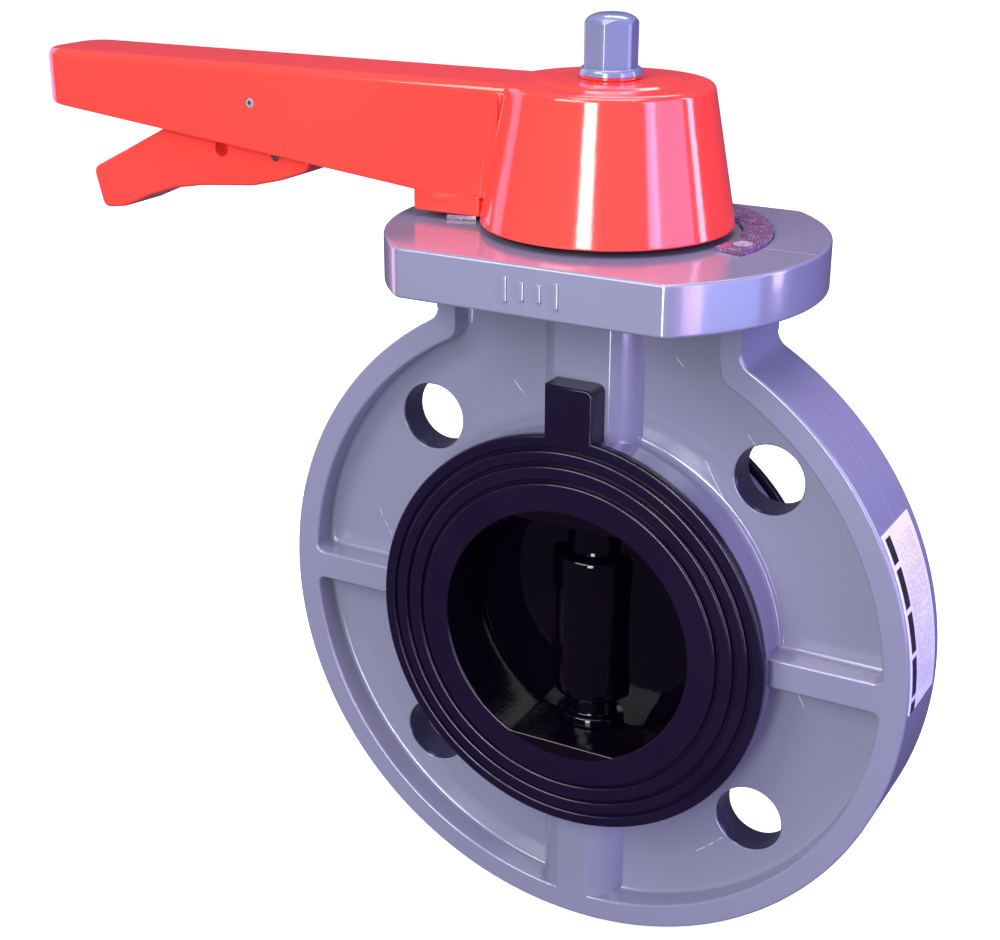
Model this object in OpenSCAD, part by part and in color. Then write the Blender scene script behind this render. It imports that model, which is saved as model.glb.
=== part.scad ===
// Wafer butterfly valve with a squeeze-to-turn lever handle, closed.
// X runs along the valve face, Y along the pipe, Z up along the stem.
// The origin is the centre of the bore, halfway through the body.

/* [Body] */
// Outer radius of the body ring
body_r = 100; // [90:1:110]
// Inner radius of the ring's raised rim
rim_in_r = 92.5; // [86:0.5:98]
// Half the thickness of the raised rim, ribs and neck
rim_half = 14; // [10:0.5:18]
// Half the thickness of the web between the rim and the seat
web_half = 5.5; // [4:0.5:8]
// Outer radius of the ring that carries the seat
carrier_r = 60; // [55:0.5:64]
// Half the length of the ring that carries the seat
carrier_half = 19.1; // [17:0.1:21]
// Width of the two side ribs
rib_w = 9; // [6:0.5:14]
// Radius of the upper stem housing
top_boss_r = 16.5; // [14:0.5:20]
// Radius of the lower stem housing
low_boss_r = 14.8; // [13:0.2:18]
// Half the width of the neck under the mounting pad
neck_half = 47; // [40:1:55]
// Wall of the neck
neck_wall = 6; // [4:0.5:8]

/* [Mounting pad] */
// Radius of the pad's round ends
pad_r = 62; // [56:1:68]
// Half the pad's width across its flats
pad_half = 48; // [42:1:54]
// Height of the pad's underside above the bore centre
pad_z = 103; // [100:1:112]
// Thickness of the pad
pad_t = 14; // [10:1:18]

/* [Flange bolts] */
// Diameter of the bolt circle
bolt_pcd = 152.4; // [140:0.1:165]
// Radius of each bolt hole
bolt_hole_r = 10; // [8:0.25:11]

/* [Seat] */
// Radius of the liner's bore
seat_bore_r = 39; // [35:0.5:42]
// Height of the sealing flats above and below the bore centre
seat_flat = 35; // [30:0.5:38]
// Outer radius of the liner inside the carrier ring
liner_r = 47.9; // [45:0.1:50]
// Outer radius of the liner's face flanges
seat_r = 61.75; // [58:0.25:65]
// Half of the face to face length
face_half = 23; // [21:0.5:26]
// Width of the key tab at the top of the front face
tab_w = 15; // [10:1:20]
// Height of the key tab's top edge above the bore centre
tab_top = 76.5; // [70:0.5:82]

/* [Stem and disc] */
// Radius of the stem
stem_r = 7; // [6:0.25:9]
// Side of the square at the stem's top
drive_w = 11; // [8:0.5:12]
// Height of the stem's lower end
stem_low_z = -82; // [-90:1:-70]
// Height of the stem's top end
stem_top_z = 150; // [140:1:154]
// Gap between the disc and the seat
disc_gap = 0.1; // [0.05:0.01:0.3]
// Radius of the barrel across the disc
barrel_r = 12.4; // [10:0.2:15]
// Half the height of the barrel
barrel_half = 23; // [18:1:28]
// Half the thickness of the disc's edge
disc_edge_half = 2.5; // [1.5:0.5:5]

/* [Handle] */
// Radius of the hub at its base
hub_r = 35.5; // [30:0.5:40]
// Radius of the hub at its top
hub_top_r = 28.3; // [24:0.1:34]
// Height of the hub's base above the bore centre
hub_z = 118.9; // [118.7:0.1:122]
// Height of the hub's top above the bore centre
hub_top_z = 157.5; // [150:0.5:165]
// Distance from the stem to the end of the arm
arm_len = 193; // [160:1:220]
// Half the width of the arm
arm_half = 14; // [11:0.5:18]
// Wall of the handle
wall = 3; // [2:0.5:4]
// Height of the arm's top at its free end
arm_end_z = 155; // [148:0.5:160]
// Height of the arm's top where it meets the hub
arm_hub_z = 156.5; // [150:0.5:162]

/* [Trigger and latch] */
// Distance from the stem to the trigger's pivot
pivot_x = 111; // [100:1:125]
// Height of the trigger's pivot
pivot_z = 144.3; // [140:0.1:148]
// Half the width of the trigger
trigger_half = 9; // [6:0.5:10]
// Distance from the stem to the link pin
link_x = 106; // [100:0.5:110]
// Height of the link pin
link_z = 128.2; // [125:0.1:132]
// Radius of the latch tooth's tip about the stem
tooth_tip_r = 43.6; // [43.4:0.1:44.5]

/* [Hidden] */
$fn = 96;
clear = 0.05;               // radial clearance of a shaft in its bearing
over = 1;                   // how far a cut runs past a face
pad_top = pad_z + pad_t;
bearing_r = stem_r + clear;
rib_in = carrier_r - 3;
rib_out = rim_in_r + 3;
low_bush_r = 11;            // pocket of the lower bush
low_bush_z = -84;
low_bush_top = -62;
up_bush_r = 13;             // pocket of the upper bush
up_bush_z = 90;
up_bush_top = 108.5;
stem_hole_r = stem_r + 0.6;
collar_r = 10.5;            // shoulder on the stem under the retainer
collar_z = 109;
collar_top = 112.4;
retainer_z = 112.8;
retainer_r = 22;
retainer_top = pad_top + 2;
retainer_screw_r = 17;
retainer_hole_r = 2.2;
retainer_pilot_r = 2;
retainer_pilot_z = pad_top - 10;
seal_groove = 1.9;          // depth of an O-ring's groove
seal_half = 1.2;            // half the width of that groove
stem_seal_at = [95, 102];
disc_seal_at = 31;          // heights of the disc's seals, up and down
label_t = 0.25;             // rating label
label_low = -9.5;
label_w = 22;
label_start = -2;
label_span = 30;
// Index plate
plate_in_r = 37.5;
plate_r = 46;
plate_z = pad_top - 2;
plate_top = pad_top + 1.4;
plate_start = -14;          // first end of the plate, in degrees
plate_span = 210;
track_r = 43.3;             // crest of the notched stretch
notch_r = 41;
notch_half = 1.9;
notch_step = 7.5;
notch_count = 13;           // from fully open to closed
notch_first = 90;
track_slack = 6;            // free turn past each end notch
plate_screw_r = 42;
plate_hole_r = 1.6;
plate_sink_r = 3;           // countersink at the plate's top
plate_pilot_r = 1.5;        // pilot hole in the pad
plate_pilot_z = plate_z - 8;
plate_screw_at = [-5, 68, 191];
fit_gap = 0.2;
// Seat profile
flange_y = 19.2;            // inner face of each seat flange
band_y = 22.2;              // face of the outer sealing rib
groove_y = 21.3;
rib_edges = [57.7, 53.2, 48.1];  // radii of the three grooves
groove_w = 0.9;
rib_step = 0.3;
// Disc
disc_r = seat_bore_r - disc_gap;
disc_flat = seat_flat - disc_gap;
neck_r = 9.4;
collar_h = 3;
lens_share = 0.36;          // height of the disc's dome as a share of the barrel's radius
drive_flat = 12;            // stem's width across its flats inside the disc
flat_half = 28;
// Handle
hub_wall = 3.5;
arm_low_end = 138.4;        // underside of the arm at its free end
arm_low_hub = 124.6;        // underside of the arm at x = block_x
arm_corner_r = 9;
block_x = 54.5;             // outer end of the latch housing
cheek_top = 126;
inner_half = arm_half - wall;
boss_r = 13;
boss_z = 122.5;
stiffener_t = 2.5;          // cross ribs inside the hub
stiffener_z = 130;
guide_x = 49.5;             // walls either side of the latch
guide_len = 14;
guide_z = 121.5;
guide_h = 13;
crown_r = 19;               // raised round land on the hub's top
crown_z = hub_top_z + 0.8;
insert_r = 10;
insert_z = 125;
insert_top = 149;
screw_r = 3;                // stem screw
washer_r = 8.4;
washer_top = crown_z + 1;
cap_r = 7.7;
cap_foot_r = 9;
cap_foot_top = washer_top + 2.6;
cap_top = 175.5;
cap_bore_r = 5.2;
head_r = 5;
head_top = washer_top + 6;
socket_r = 2.9;             // hexagon socket in the stem screw
screw_z = stem_top_z - 20;  // lower end of the stem screw
tapped_z = stem_top_z - 24; // bottom of the stem's tapped hole
cap_turn = 9;               // the cap's turn about the stem
cap_bevel = 3.2;
// Trigger and latch
pin_r = 1.65;
link_r = 1.5;
pin_bore_r = 0.7;           // the roll pin is hollow
recess_z = 128.6;           // round recess in the trigger's side
recess_r = 2.4;
fork_half = 2.2;
spring_x = 127;
spring_r = 3.4;
spring_wire = 0.6;
pocket_r = 4.4;
pocket_z = 132.5;
spring_top = 150.4;
rod_half = 1.5;
rod_z = 128;
rod_top = 131.2;
rod_slot = 5.4;             // height of the slot in the rod's eye
rod_eye_r = 4.6;
rod_end = 43.8;
latch_out = 47.8;
latch_in = 39;
latch_half = 5;
latch_z = 120.6;
latch_top = 134;
tooth_half = 1.5;
tooth_z = pad_top + 0.3;
latch_pin_x = 45.6;
latch_pin_r = 1;
guide_gap = 0.15;

// A cylinder along Y, centred on the XZ plane
module y_rod(r, half) rotate([90, 0, 0]) cylinder(r = r, h = 2 * half, center = true);

// A plate drawn in X and Z and thickened both ways along Y
module y_plate(half) rotate([90, 0, 0]) linear_extrude(2 * half, center = true) children();

// A tube along Z
module tube(r_out, r_in, low, high) {
    translate([0, 0, low]) difference() {
        cylinder(r = r_out, h = high - low);
        translate([0, 0, -over]) cylinder(r = r_in, h = high - low + 2 * over);
    }
}

// Outline of the body: a ring with a neck that reaches the pad
module body_outline(r, half_w) {
    circle(r);
    translate([-half_w, 0]) square([2 * half_w, pad_z]);
}

module stem_boss(r, low, high) {
    intersection() {
        translate([0, 0, low]) cylinder(r = r, h = high - low);
        translate([-r, -rim_half, low]) cube([2 * r, 2 * rim_half, high - low]);
    }
}

module pad() {
    intersection() {
        translate([0, 0, pad_z]) cylinder(r = pad_r, h = pad_t);
        translate([-pad_r, -pad_half, pad_z]) cube([2 * pad_r, 2 * pad_half, pad_t]);
    }
}

module valve_body() color("#7d86a6") difference() {
    union() {
        y_plate(web_half) body_outline(body_r, neck_half);
        y_plate(rim_half) difference() {
            body_outline(body_r, neck_half);
            body_outline(rim_in_r, neck_half - neck_wall);
        }
        y_rod(carrier_r, carrier_half);
        stem_boss(top_boss_r, carrier_r - 12, pad_z + over);
        stem_boss(low_boss_r, -rib_out, -carrier_r + 12);
        for (side = [-1, 1])
            translate([side * (rib_in + rib_out) / 2, 0, 0])
                cube([rib_out - rib_in, 2 * rim_half, rib_w], center = true);
        pad();
    }
    y_rod(liner_r + clear, carrier_half + over);
    for (a = [45:90:315])
        rotate([0, a, 0]) translate([bolt_pcd / 2, 0, 0]) y_rod(bolt_hole_r, rim_half + over);
    translate([0, 0, low_bush_z]) cylinder(r = low_bush_r, h = -low_bush_z);
    cylinder(r = stem_hole_r, h = pad_top + over);
    translate([0, 0, up_bush_z]) cylinder(r = up_bush_r, h = pad_top);
    rotate([0, 0, plate_start - 1]) rotate_extrude(angle = plate_span + 2)
        translate([plate_in_r - fit_gap, plate_z])
            square([plate_r - plate_in_r + 2 * fit_gap, pad_t]);
    for (a = plate_screw_at)
        rotate([0, 0, a]) translate([plate_screw_r, 0, plate_pilot_z])
            cylinder(r = plate_pilot_r, h = plate_z - plate_pilot_z + over);
    for (side = [-1, 1])
        translate([0, side * retainer_screw_r, retainer_pilot_z])
            cylinder(r = retainer_pilot_r, h = pad_top - retainer_pilot_z + over);
}

// The liner's section: radius along X, distance from the mid-plane along Y
module seat_section() difference() {
    union() {
        translate([seat_flat - 5, -face_half]) square([liner_r - seat_flat + 5, 2 * face_half]);
        for (side = [-1, 1]) {
            translate([(seat_r + liner_r - over) / 2, side * (flange_y + band_y) / 2])
                square([seat_r - liner_r + over, band_y - flange_y], center = true);
            for (i = [0, 1])
                translate([(rib_edges[i] + rib_edges[i + 1]) / 2, side * (band_y + (i + 1) * rib_step / 2)])
                    square([rib_edges[i] - rib_edges[i + 1], (i + 1) * rib_step], center = true);
        }
    }
    for (side = [-1, 1], r = rib_edges)
        translate([r, side * (groove_y + 2)]) square([groove_w, 4], center = true);
}

module seat_liner() color("#1d1a22") difference() {
    union() {
        rotate([90, 0, 0]) rotate_extrude() seat_section();
        translate([-tab_w / 2, -band_y, carrier_r + 0.1])
            cube([tab_w, band_y - rim_half - clear, tab_top - carrier_r - 0.1]);
    }
    y_plate(face_half + over) intersection() {
        circle(seat_bore_r);
        square([2 * seat_bore_r, 2 * seat_flat], center = true);
    }
    translate([0, 0, -tab_top]) cylinder(r = bearing_r, h = 2 * tab_top);
}

module lower_bush() color("#e8e4d6") tube(low_bush_r - 0.02, bearing_r, low_bush_z, low_bush_top);

module upper_bush() color("#e8e4d6") difference() {
    tube(up_bush_r - 0.02, bearing_r, up_bush_z, up_bush_top);
    for (z = stem_seal_at)
        tube(stem_r + seal_groove, stem_r - over, z - seal_half, z + seal_half);
}

module ring_seal(r_mid, r_wire, z) translate([0, 0, z])
    rotate_extrude() translate([r_mid, 0]) circle(r_wire);

module stem_seals() color("#151515") for (z = stem_seal_at) ring_seal(stem_r + 0.97, 0.88, z);

module stem_retainer() color("#3a3d45") difference() {
    union() {
        tube(up_bush_r - 0.1, stem_r + 0.3, retainer_z, pad_top);
        tube(retainer_r, stem_r + 0.3, pad_top, retainer_top);
    }
    for (side = [-1, 1])
        translate([0, side * retainer_screw_r, pad_top - over])
            cylinder(r = retainer_hole_r, h = retainer_top - pad_top + 2 * over);
}

// A cross head screw: its head sits on height z
module pan_screw(r, head, z, len) {
    slot_len = head * 1.2;
    slot_w = 0.8;
    translate([0, 0, z - len]) cylinder(r = r, h = len);
    difference() {
        translate([0, 0, z]) cylinder(r = head, h = head * 0.5);
        for (a = [0, 90])
            rotate([0, 0, a]) translate([0, 0, z + head * 0.72])
                cube([slot_len, slot_w, head], center = true);
    }
}

module retainer_screws() color("#b9bcc4") for (side = [-1, 1])
    translate([0, side * retainer_screw_r, 0]) pan_screw(1.95, 3.4, retainer_top, 11);

module index_plate() color("#5f5a6c") difference() {
    rotate([0, 0, plate_start]) rotate_extrude(angle = plate_span)
        translate([plate_in_r, plate_z]) square([plate_r - plate_in_r, plate_top - plate_z]);
    rotate([0, 0, notch_first - track_slack])
        rotate_extrude(angle = notch_step * (notch_count - 1) + 2 * track_slack)
            translate([track_r, plate_z - over]) square([plate_r, plate_top - plate_z + 2 * over]);
    for (i = [0:notch_count - 1])
        rotate([0, 0, notch_first + i * notch_step])
            translate([notch_r, -notch_half, plate_z - over])
                cube([plate_r - notch_r, 2 * notch_half, plate_top - plate_z + 2 * over]);
    for (a = plate_screw_at) rotate([0, 0, a]) translate([plate_screw_r, 0, plate_z - over]) {
        cylinder(r = plate_hole_r, h = plate_top - plate_z + 2 * over);
        translate([0, 0, plate_top - plate_z + over - 1.3])
            cylinder(r1 = plate_hole_r, r2 = plate_sink_r, h = 1.4);
    }
}

module plate_screws() color("#b9bcc4") for (a = plate_screw_at)
    rotate([0, 0, a]) translate([plate_screw_r, 0, 0]) {
        translate([0, 0, plate_z - 7]) cylinder(r = 1.45, h = plate_top - plate_z + 6.5);
        translate([0, 0, plate_top - 1.2]) cylinder(r1 = 1.45, r2 = 2.7, h = 1.2);
    }

module rating_label() color("#eceaf4")
    rotate([90, 0, 0]) rotate([0, 0, label_start]) rotate_extrude(angle = label_span)
        translate([body_r + 0.02, label_low]) square([label_t, label_w]);

module stem() color("#9b9ea6") difference() {
    union() {
        translate([0, 0, stem_low_z]) cylinder(r = stem_r, h = -flat_half - stem_low_z);
        intersection() {
            translate([0, 0, -flat_half - over]) cylinder(r = stem_r, h = 2 * (flat_half + over));
            cube([2 * stem_r, drive_flat, 4 * flat_half], center = true);
        }
        translate([0, 0, flat_half]) cylinder(r = stem_r, h = insert_z - flat_half);
        translate([0, 0, collar_z]) cylinder(r = collar_r, h = collar_top - collar_z);
        intersection() {
            translate([0, 0, insert_z - over]) cylinder(r = stem_r, h = stem_top_z - insert_z + over);
            translate([0, 0, stem_top_z / 2]) cube([drive_w, drive_w, stem_top_z], center = true);
        }
    }
    translate([0, 0, tapped_z]) cylinder(r = screw_r + 0.02, h = stem_top_z - tapped_z + over);
}

module disc() color("#14101c") difference() {
    union() {
        intersection() {
            sphere(disc_r, $fn = 128);
            union() {
                y_rod(disc_r + over, disc_edge_half);
                rotate([90, 0, 0]) cylinder(r1 = disc_r, r2 = barrel_r, h = barrel_r * lens_share);
                rotate([-90, 0, 0]) cylinder(r1 = disc_r, r2 = barrel_r, h = barrel_r * lens_share);
            }
            cube([3 * disc_r, 3 * disc_r, 2 * disc_flat], center = true);
        }
        translate([0, 0, -barrel_half]) cylinder(r = barrel_r, h = 2 * barrel_half);
        translate([0, 0, -disc_flat]) cylinder(r = neck_r, h = 2 * disc_flat);
        for (side = [-1, 1])
            translate([0, 0, side * (disc_flat - collar_h / 2)])
                cylinder(r = barrel_r - over, h = collar_h, center = true);
    }
    for (side = [-1, 1])
        translate([0, 0, side * (flat_half + 12)]) cylinder(r = bearing_r, h = 24, center = true);
    intersection() {
        cylinder(r = bearing_r, h = 100, center = true);
        cube([4 * stem_r, drive_flat + 2 * clear, 100], center = true);
    }
    for (z = [-disc_seal_at, disc_seal_at])
        tube(stem_r + seal_groove, stem_r - over, z - seal_half, z + seal_half);
}

module disc_seals() color("#151515") for (z = [-disc_seal_at, disc_seal_at])
    ring_seal(stem_r + 0.97, 0.88, z);

// Plan of the arm, with rounded corners at the free end
module arm_plan(end, half, corner) {
    translate([-end + corner, -half]) square([end - corner - crown_r, 2 * half]);
    translate([-end, -half + corner]) square([end - crown_r, 2 * (half - corner)]);
    for (side = [-1, 1]) translate([-end + corner, side * (half - corner)]) circle(corner);
}

// Side view of the arm: X along the arm, Y up; grow takes in the wall
module arm_side(end, shrink) {
    polygon([[-end, arm_low_end], [-end, arm_end_z - shrink], [-crown_r, arm_hub_z - shrink],
        [-crown_r, arm_low_hub], [-block_x, arm_low_hub]]);
}

module handle() color("#e4392f") difference() {
    union() {
        difference() {
            intersection() {
                y_plate(arm_half + over) arm_side(arm_len, 0);
                linear_extrude(arm_hub_z + over) arm_plan(arm_len, arm_half, arm_corner_r);
            }
            intersection() {
                translate([0, 0, -wall]) y_plate(arm_half) polygon([[-arm_len, arm_low_end - 20],
                    [-arm_len, arm_end_z - 1], [-crown_r, arm_hub_z - 1], [-crown_r, 100]]);
                linear_extrude(arm_hub_z)
                    arm_plan(arm_len - wall, inner_half, arm_corner_r - wall);
            }
        }
        // latch housing between the arm and the pad
        translate([-block_x, -arm_half, hub_z]) difference() {
            cube([block_x - hub_r + 2, 2 * arm_half, arm_low_hub - hub_z + 2]);
            translate([wall, wall, -over]) cube([block_x, 2 * inner_half, 20]);
        }
        translate([-block_x, -inner_half - over, hub_z])
            cube([wall, 2 * (inner_half + over), cheek_top - hub_z]);
        for (side = [-1, 1])
            translate([-guide_x, side > 0 ? latch_half + guide_gap : -inner_half - over, guide_z])
                cube([guide_len, inner_half + over - latch_half - guide_gap, guide_h]);
        translate([0, 0, hub_z]) cylinder(r1 = hub_r, r2 = hub_top_r, h = hub_top_z - hub_z);
        translate([0, 0, hub_top_z]) cylinder(r = crown_r, h = crown_z - hub_top_z);
    }
    difference() {
        translate([0, 0, hub_z - over])
            cylinder(r1 = hub_r - hub_wall, r2 = hub_top_r - hub_wall, h = hub_top_z - hub_z - 3);
        translate([0, 0, boss_z]) cylinder(r = boss_r, h = 50);
        for (a = [45, 135])
            rotate([0, 0, a]) translate([-hub_r, -stiffener_t / 2, stiffener_z])
                cube([2 * hub_r, stiffener_t, hub_top_z - stiffener_z]);
    }
    translate([0, 0, boss_z - over]) cylinder(r = insert_r, h = insert_top - boss_z + over);
    cylinder(r = stem_r + 0.3, h = stem_top_z + over);
    cylinder(r = screw_r + 0.4, h = 200);
    translate([-pivot_x, 0, pivot_z]) y_rod(pin_r + 0.01, arm_half + over);
}

module drive_insert() color("#a9a48f") difference() {
    tube(insert_r - 0.02, screw_r, insert_z, insert_top);
    translate([0, 0, insert_z]) cube([drive_w + 2 * clear, drive_w + 2 * clear, 80], center = true);
}

module hub_washer() color("#8d9098") tube(washer_r, screw_r + 0.3, crown_z, washer_top);

module stem_screw() color("#9b9ea6") difference() {
    union() {
        translate([0, 0, screw_z]) cylinder(r = screw_r, h = washer_top - screw_z);
        translate([0, 0, washer_top]) cylinder(r = head_r, h = head_top - washer_top);
    }
    translate([0, 0, head_top - 3]) cylinder(r = socket_r, h = 4, $fn = 6);
}

module screw_cap() color("#8088ad") difference() {
    union() {
        intersection() {
            rotate([0, 0, cap_turn]) translate([0, 0, washer_top])
                cylinder(r = cap_r, h = cap_top - washer_top, $fn = 6);
            translate([0, 0, washer_top])
                cylinder(r1 = cap_r + cap_top - washer_top - cap_bevel, r2 = cap_r - cap_bevel,
                    h = cap_top - washer_top);
        }
        translate([0, 0, washer_top])
            cylinder(r1 = cap_foot_r, r2 = cap_foot_r - 0.4, h = cap_foot_top - washer_top);
    }
    translate([0, 0, washer_top - over]) cylinder(r = cap_bore_r, h = head_top - washer_top + 1.5);
}

module trigger_pin() color("#c9c4c8") translate([-pivot_x, 0, pivot_z]) difference() {
    y_rod(pin_r, arm_half);
    y_rod(pin_bore_r, arm_half + over);
}

// Side view of the trigger, about its pivot: X along the arm, Y up
module trigger_side() {
    polygon([[-67.2, -26.5], [-64.4, -37.4], [-62.3, -38.7], [-55, -37.9], [-44, -33.1], [-34, -29.8],
        [-24, -28], [-14, -27], [-4.5, -26.1], [6.4, -23.4], [15.6, -20], [17.5, -17.3], [15, -12.5],
        [5.5, -2.4], [-3, 5.2], [-14, 3.2], [-24, -4.5], [-39.3, -12.5]]);
    circle(6);
}

module trigger() color("#e4392f") difference() {
    translate([-pivot_x, 0, pivot_z]) y_plate(trigger_half) trigger_side();
    translate([-pivot_x, 0, pivot_z]) y_rod(pin_r + 0.07, trigger_half + over);
    translate([-link_x, 0, link_z]) y_rod(link_r + 0.01, trigger_half + over);
    translate([-link_x - 7, -fork_half, link_z - 6]) cube([30, 2 * fork_half, 14]);
    translate([-spring_x, 0, pocket_z]) cylinder(r = pocket_r, h = 20);
    translate([-spring_x + 1, -trigger_half, recess_z]) y_rod(recess_r, 2);
}

module link_pin() color("#6a6a70") translate([-link_x, 0, link_z]) y_rod(link_r, trigger_half);

module trigger_spring() color("#8a8d94") difference() {
    translate([-spring_x, 0, 0]) tube(spring_r, spring_r - 2 * spring_wire, pocket_z, spring_top);
}

// The rod's eye has an upright slot, so the pin can rise a little as it swings
module pull_rod() color("#2c2a30") difference() {
    union() {
        translate([-link_x, -rod_half, rod_z]) cube([link_x - rod_end, 2 * rod_half, rod_top - rod_z]);
        translate([-link_x, 0, link_z]) y_rod(rod_eye_r, rod_half);
    }
    translate([-link_x, 0, link_z]) cube([2 * link_r + 0.3, 4 * rod_half, rod_slot], center = true);
    translate([-latch_pin_x, 0, (rod_z + rod_top) / 2]) y_rod(latch_pin_r + 0.01, 2 * rod_half);
}

module latch() color("#4a4c55") difference() {
    union() {
        translate([-latch_out, -latch_half, latch_z])
            cube([latch_out - latch_in, 2 * latch_half, latch_top - latch_z]);
        translate([-latch_out + 0.3, -tooth_half, tooth_z])
            cube([latch_out - 0.3 - tooth_tip_r, 2 * tooth_half, latch_z - tooth_z + over]);
    }
    translate([-latch_out - over, -rod_half - 0.02, rod_z - 0.02])
        cube([latch_out + over - rod_end, 2 * rod_half + 0.04, rod_top - rod_z + 0.04]);
    translate([-latch_pin_x, 0, (rod_z + rod_top) / 2]) y_rod(latch_pin_r + 0.01, latch_half + over);
}

module latch_pin() color("#9b9ea6") translate([-latch_pin_x, 0, (rod_z + rod_top) / 2])
    y_rod(latch_pin_r, latch_half);

valve_body();
seat_liner();
lower_bush();
upper_bush();
stem_seals();
stem_retainer();
retainer_screws();
index_plate();
plate_screws();
rating_label();
stem();
disc();
disc_seals();
handle();
drive_insert();
hub_washer();
stem_screw();
screw_cap();
trigger_pin();
trigger();
link_pin();
trigger_spring();
pull_rod();
latch();
latch_pin();
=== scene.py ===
# %% [markdown]
# # A wafer butterfly valve with a lever handle
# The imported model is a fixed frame: every joint, size and place is already right in it.
# This lesson rebuilds the pieces that show, one after another, with the edges, fillets and
# finishes of the real mouldings. All sizes below are in millimetres and are turned into
# Blender's metres where they are used.

# %% Load the frame
import math

import bpy
from mathutils import Matrix, Vector


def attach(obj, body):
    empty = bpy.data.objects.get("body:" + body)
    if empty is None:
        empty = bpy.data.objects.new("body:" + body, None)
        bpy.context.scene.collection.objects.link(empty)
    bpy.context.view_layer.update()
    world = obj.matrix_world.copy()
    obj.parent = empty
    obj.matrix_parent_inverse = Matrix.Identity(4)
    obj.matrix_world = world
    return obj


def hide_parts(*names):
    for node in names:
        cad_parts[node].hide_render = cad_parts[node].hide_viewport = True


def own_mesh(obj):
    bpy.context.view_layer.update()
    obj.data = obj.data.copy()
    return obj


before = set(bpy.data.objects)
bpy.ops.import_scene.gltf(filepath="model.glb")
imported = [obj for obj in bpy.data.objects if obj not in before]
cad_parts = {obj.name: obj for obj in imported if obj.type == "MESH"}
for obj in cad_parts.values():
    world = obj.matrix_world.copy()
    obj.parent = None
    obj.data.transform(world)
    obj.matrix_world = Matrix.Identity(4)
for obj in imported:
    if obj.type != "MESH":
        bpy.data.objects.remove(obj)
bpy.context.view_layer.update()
MM = 0.001

# %% [markdown]
# ## Small helpers
# Blender's operators act on whatever is selected, and a freshly loaded frame is selected.
# So each piece starts by deselecting everything, and parts of a mesh are picked in code
# by their place or the way they face.

# %% Choosing things
def settle():
    """Back to object mode with nothing selected."""
    if bpy.context.mode != "OBJECT":
        bpy.ops.object.mode_set(mode="OBJECT")
    bpy.ops.object.select_all(action="DESELECT")


def take(obj):
    """Make one object the selected and active one."""
    settle()
    obj.select_set(True)
    bpy.context.view_layer.objects.active = obj
    return obj


def edit(obj, mode="VERT"):
    """Open one object's mesh to pick points (VERT) or edges (EDGE)."""
    take(obj)
    bpy.ops.object.mode_set(mode="EDIT")
    bpy.ops.mesh.select_mode(type=mode)


def near(a, b):
    """Whether two lengths in mm are the same but for rounding."""
    return abs(a - b) < 0.01


def pick_points(obj, test):
    """Edit mode with only the points whose place, in mm, passes the test."""
    edit(obj, "VERT")
    bpy.ops.mesh.select_all(action="DESELECT")
    bpy.ops.object.mode_set(mode="OBJECT")
    for v in obj.data.vertices:
        v.select = bool(test(v.co / MM))
    bpy.ops.object.mode_set(mode="EDIT")


def pick_edges(obj, test, sharp=0):
    """Edit mode with only the edges that turn by over sharp degrees and whose ends pass the test."""
    turn = {}
    if sharp:
        for p in obj.data.polygons:
            for key in p.edge_keys:
                turn.setdefault(key, []).append(p.normal.copy())
    edit(obj, "EDGE")
    bpy.ops.mesh.select_all(action="DESELECT")
    bpy.ops.object.mode_set(mode="OBJECT")
    for e in obj.data.edges:
        a, b = (obj.data.vertices[i].co / MM for i in e.vertices)
        ok = bool(test(a) and test(b))
        if ok and sharp:
            n = turn.get(e.key, [])
            ok = len(n) == 2 and n[0].angle(n[1], 0) > math.radians(sharp)
        e.select = ok
    bpy.ops.object.mode_set(mode="EDIT")


# %% [markdown]
# ## Drawing an outline
# A moulding is easiest to see as an outline that is either pulled out straight (a plate)
# or spun round an axis (a turned part). The outline starts as a plane merged into one
# point, and each next point is extruded from the last, as a hand would draw it.

# %% Outline, plate and turned part
AXES = {"Y": (0, 1, 0), "Z": (0, 0, 1)}
MERGE_WITHIN = 0.002  # mm


def trace(name, points, closed=True):
    """A chain of edges through points (mm); a closed one comes back to its start."""
    settle()
    bpy.ops.mesh.primitive_plane_add(size=MM)
    obj = bpy.context.object
    obj.name = obj.data.name = name
    bpy.ops.object.mode_set(mode="EDIT")
    bpy.ops.mesh.select_mode(type="VERT")
    bpy.ops.mesh.select_all(action="SELECT")
    bpy.ops.mesh.merge(type="CENTER")
    pts = [Vector(p) * MM for p in points]
    bpy.ops.transform.translate(value=pts[0])
    for a, b in zip(pts, pts[1:]):
        bpy.ops.mesh.extrude_vertices_move(TRANSFORM_OT_translate={"value": b - a})
    if closed:
        last = len(pts) - 1
        bpy.ops.object.mode_set(mode="OBJECT")
        for v in obj.data.vertices:
            v.select = v.index in (0, last)
        bpy.ops.object.mode_set(mode="EDIT")
        bpy.ops.mesh.edge_face_add()
    settle()
    return obj


def round_points(obj, test, width, steps=4):
    """Round the outline's corners that pass the test."""
    pick_points(obj, test)
    bpy.ops.mesh.bevel(offset=width * MM, segments=steps, affect="VERTICES", clamp_overlap=False)
    settle()
    return obj


def outward(obj):
    """Merge what lies on itself and turn every face outwards."""
    edit(obj)
    bpy.ops.mesh.select_all(action="SELECT")
    bpy.ops.mesh.remove_doubles(threshold=MERGE_WITHIN * MM)
    bpy.ops.mesh.normals_make_consistent(inside=False)
    settle()
    return obj


def pull(obj, along):
    """Fill a closed outline and pull it out by a vector in mm."""
    edit(obj)
    bpy.ops.mesh.select_all(action="SELECT")
    bpy.ops.mesh.edge_face_add()
    bpy.ops.mesh.select_all(action="SELECT")
    bpy.ops.mesh.extrude_region_move(TRANSFORM_OT_translate={"value": Vector(along) * MM})
    return outward(obj)


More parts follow.
